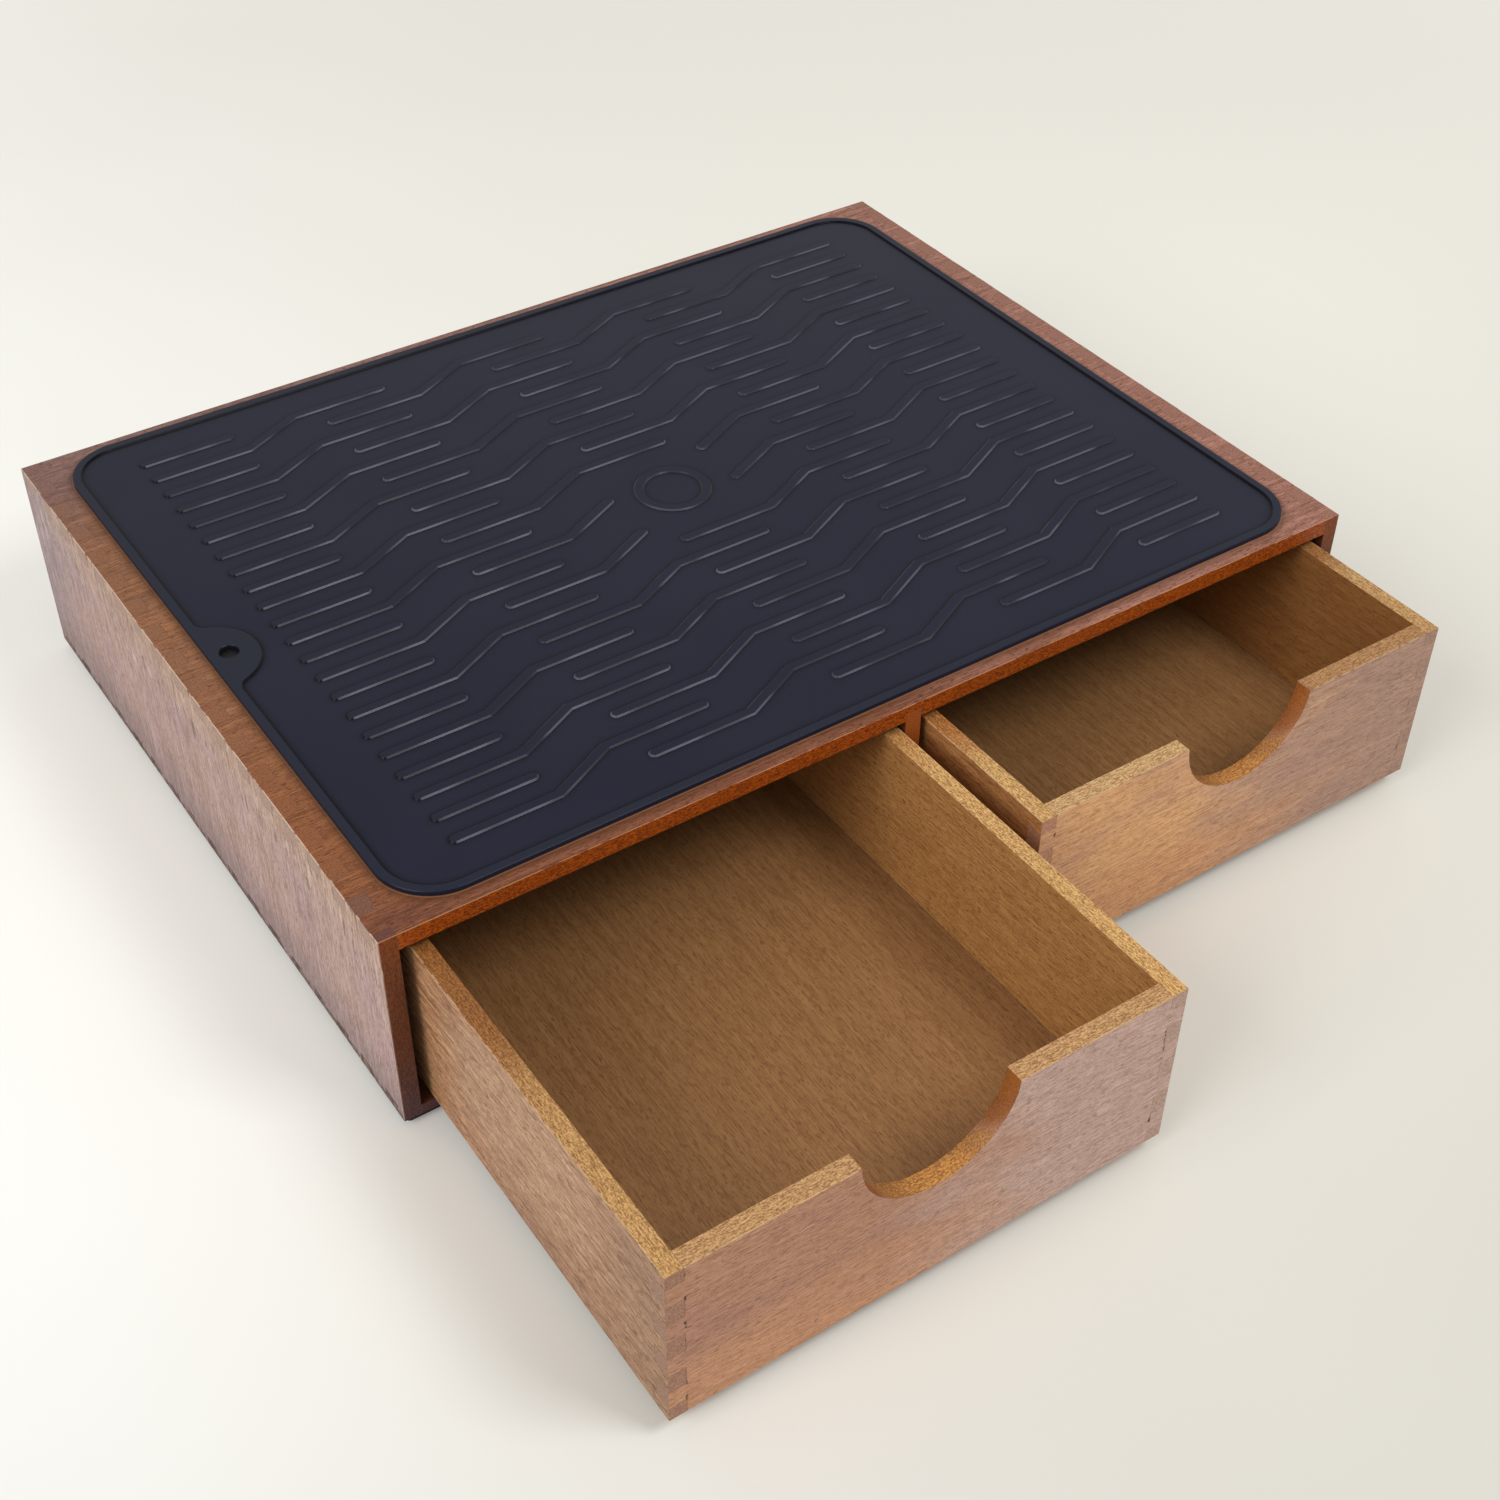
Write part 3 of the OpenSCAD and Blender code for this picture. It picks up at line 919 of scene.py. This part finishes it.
# %% Dress the mat
RIB_SLOPE_MM = 0.34
CRISP_ANGLE = math.radians(20)
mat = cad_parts["silicone_mat"]
soften(mat, RIB_SLOPE_MM, segments=1, whole_width=True)
crisp = mat.modifiers.new("crisp", "EDGE_SPLIT")
crisp.split_angle = CRISP_ANGLE
dress(mat, silicone("silicone"))
print("mat faces:", len(mat.data.polygons))

# %% [markdown]
# ## Rubber feet
# Four low feet keep the bottom board off the worktop. They are nearly black and a little dusty. A
# single dark colour would look like a hole, so a fine noise in colour and height breaks it up.

# %% Mould the feet
RUBBER_DARK, RUBBER_LIGHT = srgb(30, 28, 36), srgb(46, 44, 54)
MOULD_GRAIN_MM = 0.5
FOOT_ARRIS_MM = 0.5


def rubber(name):
    """Black rubber with a fine mould texture."""
    material, place = start_material(name)[:2]
    grain = lumps(place, MOULD_GRAIN_MM, detail=3.0)
    colour = grain.ramp(-0.2, 0.2).mix(RUBBER_DARK, RUBBER_LIGHT)
    roughness = 0.6 + grain * 0.2
    end_material(colour, roughness, height=grain, bump_mm=0.03, Specular_IOR_Level=0.3)
    return material


foot_rubber = rubber("foot_rubber")
feet = [f"{end}_{side}_foot" for end in ("front", "back") for side in ("left", "right")]
for name in feet:
    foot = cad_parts[name]
    soften(foot, FOOT_ARRIS_MM)
    dress(foot, foot_rubber)
print("feet:", ", ".join(feet))

# %% [markdown]
# ## Floor
# The floor is plain and pale, and it keeps the object's shadow. Its paint drifts slowly to a darker,
# warmer tone to the right and the front, which is painted shade, and wide soft noise keeps the change
# from showing as a straight border. The lamps don't reach far.
# Stronger ones would bleach the object, so the floor also glows a little towards the back and more
# at a distance, up to the backdrop's own level. It glows for rays from the camera alone, and so the
# glow lights nothing.

# %% Lay the floor
FLOOR_REACH = 6.0
FLOOR_COOL = srgb(240, 241, 237)
FLOOR_SHADED_RIGHT, TO_RIGHT = srgb(218, 215, 205), (-650, 350)
FLOOR_SHADED_FRONT, TO_FRONT, FRONT_SHADE_PART = srgb(204, 200, 189), (-150, -650), 0.7
DRIFT_MM = 300.0
BLACK = (0.0, 0.0, 0.0)
BACK_GLOW, TO_BACK = (0.22, 0.215, 0.2), (-600, 200)
FAR_GLOW, TO_FAR = (0.44, 0.43, 0.4), (700, 1900)


def floor_plane():
    """A large square floor at the height that the feet stand on."""
    signs = ((-1, -1), (1, -1), (1, 1), (-1, 1))
    corners = [(x * FLOOR_REACH, y * FLOOR_REACH, 0) for x, y in signs]
    mesh = bpy.data.meshes.new("floor")
    mesh.from_pydata(corners, [], [(0, 1, 2, 3)])
    plane = bpy.data.objects.new("floor", mesh)
    bpy.context.scene.collection.objects.link(plane)
    return plane


def floor_paint(name):
    """Pale matt paint with painted shade, darker and warmer to the right and the front, that glows a
    little for the camera alone.
    """
    material, place = start_material(name)[:2]
    point = split(place)
    clouds = lumps(place, DRIFT_MM, detail=2.0)
    wander = clouds * DRIFT_MM
    # painted shade: darker and warmer to the right and the front
    colour = (point["X"] + wander).ramp(*TO_RIGHT).mix(FLOOR_COOL, FLOOR_SHADED_RIGHT)
    colour = ((point["Y"] + wander).ramp(*TO_FRONT) * FRONT_SHADE_PART).mix(colour, FLOOR_SHADED_FRONT)
    glow = point["Y"].ramp(*TO_BACK).mix(BLACK, BACK_GLOW)
    glow = flat_length(place).ramp(*TO_FAR).mix(glow, FAR_GLOW)
    glow = place.node("ShaderNodeLightPath", out="Is Camera Ray").mix(BLACK, glow)
    end_material(
        colour, roughness=0.5, height=clouds, bump_mm=0.01,
        Specular_IOR_Level=0.2, Emission_Color=glow, Emission_Strength=1.0,
    )
    return material


floor = floor_plane()
dress(floor, floor_paint("floor_paint"))
print("floor is", 2 * FLOOR_REACH, "m wide")

# %% [markdown]
# ## Lamps
# The light is a plain level at which a colour looks about as it was written. A large soft key lamp
# stands high on the left. It could do alone, but the upright faces at the front would stay dark, so
# a small fill lamp hangs above the front.


# %% Hang the lights
def soft_light(name, place, target, size, power):
    """A square white light at place, pointed at target, in metres and watts."""
    lamp = bpy.data.lights.new(name, "AREA")
    lamp.size = size
    lamp.energy = power
    holder = bpy.data.objects.new(name, lamp)
    bpy.context.scene.collection.objects.link(holder)
    holder.location = place
    holder.rotation_euler = (Vector(target) - Vector(place)).to_track_quat("-Z", "Y").to_euler()


soft_light("key", place=(-3.4, -0.8, 2.6), target=(0, 0, 0), size=2.2, power=79.0)
soft_light("fill", place=(0.33, -0.94, 1.29), target=(-0.1, 0, 0.1), size=0.5, power=9.0)
print("lamps:", len(bpy.data.lights))

# %% [markdown]
# ## Room
# About half of the light comes evenly from the room. One background could serve for everything, but
# a pale backdrop would light the object too much. With the Light Path node the world shows the
# backdrop to the camera and in reflections, while it lights the object with a plain white of its own
# strength.

# %% Light the room
ROOM_LIGHT = 0.5
BACKDROP, BACKDROP_STRENGTH = srgb(240, 238, 232), 0.9
world = bpy.data.worlds.new("room")
bpy.context.scene.world = world
world.use_nodes = True
world.node_tree.nodes.clear()
rays = Wire(world.node_tree).node("ShaderNodeLightPath", out="Is Camera Ray")
seen = rays.most(rays.also("Is Glossy Ray")).most(rays.also("Is Transmission Ray"))
backdrop = rays.node("ShaderNodeBackground", inputs={"Color": BACKDROP, "Strength": BACKDROP_STRENGTH})
lighting = rays.node("ShaderNodeBackground", inputs={"Color": (1.0, 1.0, 1.0), "Strength": ROOM_LIGHT})
shown = rays.node("ShaderNodeMixShader", inputs={0: seen, 1: lighting, 2: backdrop})
rays.node("ShaderNodeOutputWorld", inputs={"Surface": shown})
print("room light", ROOM_LIGHT)

# %% [markdown]
# ## View transform
# The view transform is the plain one, so colours show as written. The modifiers here only round
# corners inwards.

# %% Set the view transform
bpy.context.scene.view_settings.view_transform = "Standard"
